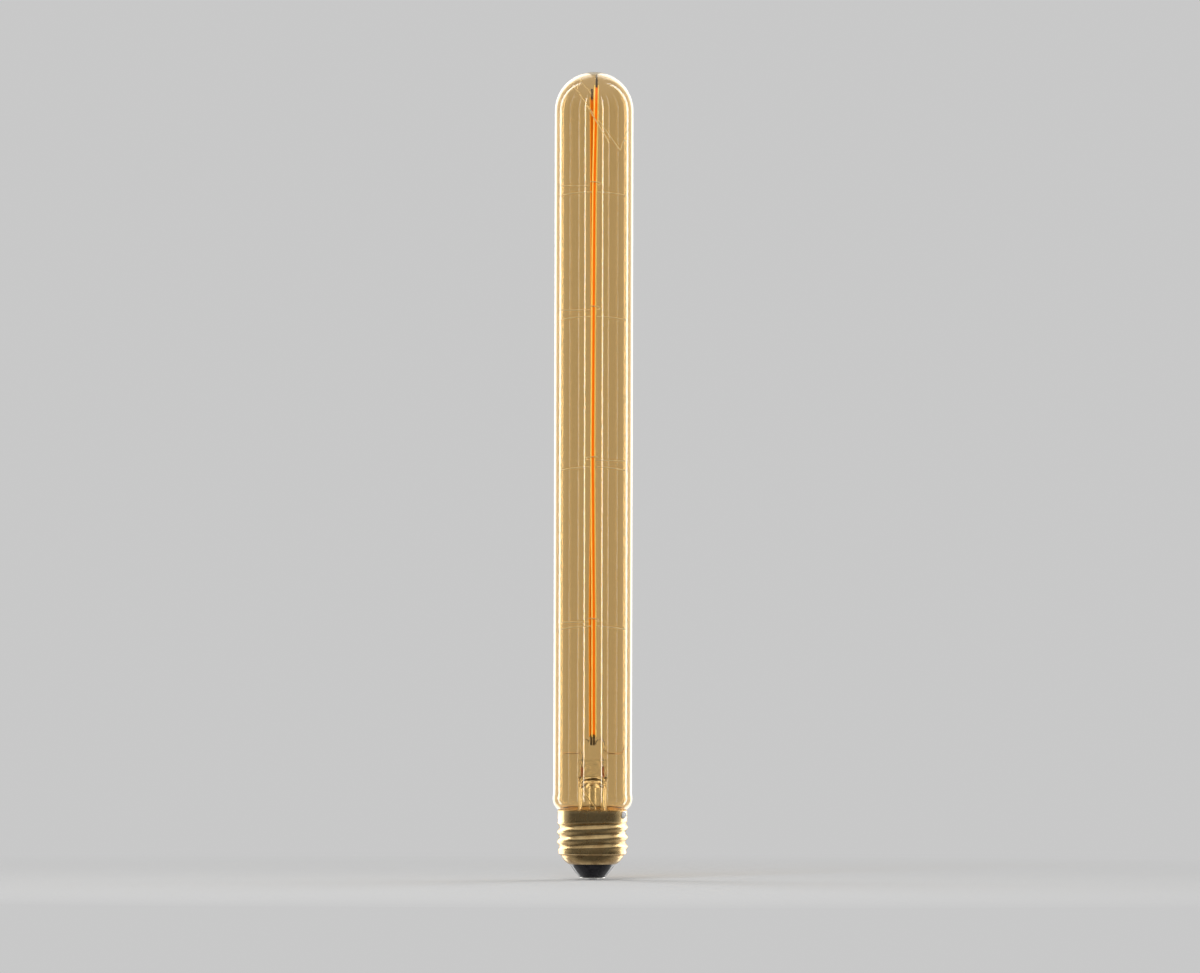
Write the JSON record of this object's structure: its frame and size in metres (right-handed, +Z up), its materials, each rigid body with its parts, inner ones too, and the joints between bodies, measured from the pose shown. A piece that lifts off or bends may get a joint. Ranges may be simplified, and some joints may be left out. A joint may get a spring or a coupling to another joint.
{
  "type": "led filament lamp",
  "caption": "Long tubular amber glass lamp with a domed top, parallel filament sticks steadied by spring wires, a pressed glass stem and an Edison screw cap.",
  "frame": {"origin": "centre of the tip contact's lower face, on the lamp's axis", "axes": "+Z up the lamp's axis from the cap to the dome, -Y towards the viewer, +X to the right"},
  "size_m": [0.0296, 0.0296, 0.3],
  "materials": {
    "amber_glass": "polished",
    "stem_glass": "polished",
    "insulator_glass": "polished",
    "cap_brass": "satin",
    "contact_metal": "satin",
    "solder": "satin",
    "cement": "matt",
    "seal_metal": "satin",
    "lead_metal": "satin",
    "foot_spring_metal": "satin",
    "spring_metal": "satin",
    "tab_metal": "satin",
    "carrier_ceramic": "matt",
    "chip_crystal": "polished",
    "phosphor": "satin",
    "copper_wire": "satin",
    "board_resin": "satin",
    "chip_package": "satin",
    "can_sleeve": "gloss",
    "ferrite": "matt",
    "resistor_body": "satin"
  },
  "bodies": {
    "root": {"glass_envelope": "amber_glass", "glass_stem": "stem_glass", "exhaust_tube": "stem_glass", "cap_insulator": "insulator_glass", "cap_shell": "cap_brass", "tip_contact": "contact_metal", "tip_solder": "solder", "side_solder": "solder", "basing_cement": "cement", "seal_wire_left": "seal_metal", "seal_wire_right": "seal_metal", "lead_left": "lead_metal", "lead_right": "lead_metal", "foot_spring_left": "foot_spring_metal", "foot_spring_right": "foot_spring_metal", "top_spring": "spring_metal", "top_link": "spring_metal", "support_hook_1": "spring_metal", "support_hook_2": "spring_metal", "support_hook_3": "spring_metal", "support_hook_4": "spring_metal", "support_brace_1": "spring_metal", "support_brace_2": "spring_metal", "support_brace_3": "spring_metal", "support_brace_4": "spring_metal", "front_filament_tabs": "tab_metal", "rear_filament_tabs": "tab_metal", "front_filament_strip": "carrier_ceramic", "rear_filament_strip": "carrier_ceramic", "front_filament_chips": "chip_crystal", "rear_filament_chips": "chip_crystal", "front_filament_coat": "phosphor", "rear_filament_coat": "phosphor", "tail_left": "copper_wire", "tail_right": "copper_wire", "tip_wire": "copper_wire", "side_wire": "copper_wire", "driver_board": "board_resin", "bridge_rectifier": "chip_package", "driver_chip": "chip_package", "sense_resistors": "chip_package", "smoothing_capacitor": "can_sleeve", "choke": "ferrite", "fusible_resistor": "resistor_body"}
  },
  "joints": []
}
